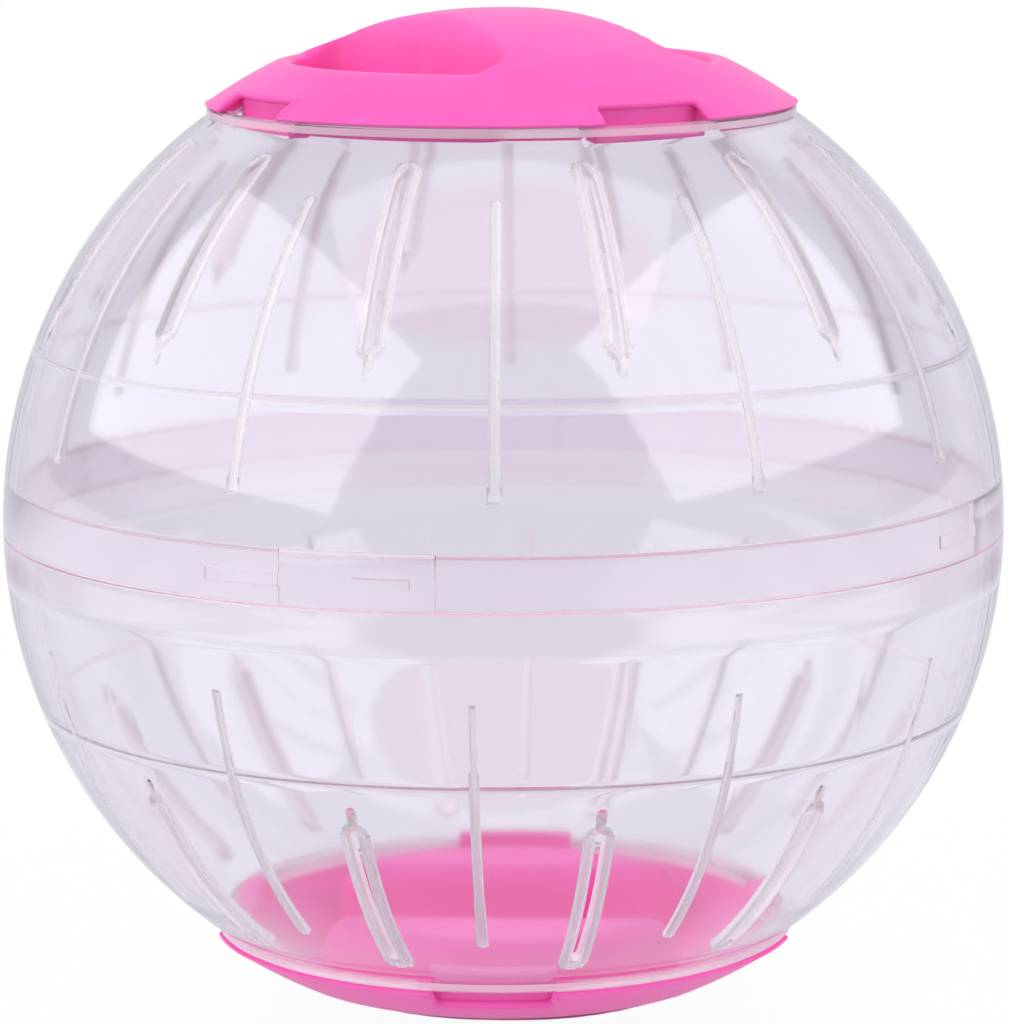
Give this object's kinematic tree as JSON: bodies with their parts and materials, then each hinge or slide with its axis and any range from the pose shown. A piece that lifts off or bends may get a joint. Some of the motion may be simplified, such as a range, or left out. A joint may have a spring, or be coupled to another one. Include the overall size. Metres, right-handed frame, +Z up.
{
  "type": "hamster ball",
  "caption": "Clear vented exercise ball for a hamster, in two turn-and-lock half shells with a pink grip lid hooked into a hole at each pole.",
  "frame": {"origin": "centre of the ball", "axes": "+Z up through the middle of both lids, -Y to the viewer's side of the picture, +X to its right"},
  "size_m": [0.145, 0.145, 0.1474],
  "materials": {
    "clear_styrene": "clear polished moulding",
    "pink_styrene": "glossy opaque moulding"
  },
  "bodies": {
    "lower_shell": {"lower_shell": "clear_styrene"},
    "upper_shell": {"upper_shell": "clear_styrene"},
    "top_lid": {"top_lid": "pink_styrene"},
    "bottom_lid": {"bottom_lid": "pink_styrene"}
  },
  "joints": [
    {"name": "half_shell_turn", "type": "hinge", "parent": "lower_shell", "child": "upper_shell", "pos_m": [0, 0, 0], "axis": [0, 0, 1], "range_deg": [0, 17]},
    {"name": "top_lid_lift", "type": "slide", "parent": "upper_shell", "child": "top_lid", "axis": [0, 0, 1], "range_m": [0, 0.08]},
    {"name": "bottom_lid_drop", "type": "slide", "parent": "lower_shell", "child": "bottom_lid", "axis": [0, 0, -1], "range_m": [0, 0.08]}
  ]
}
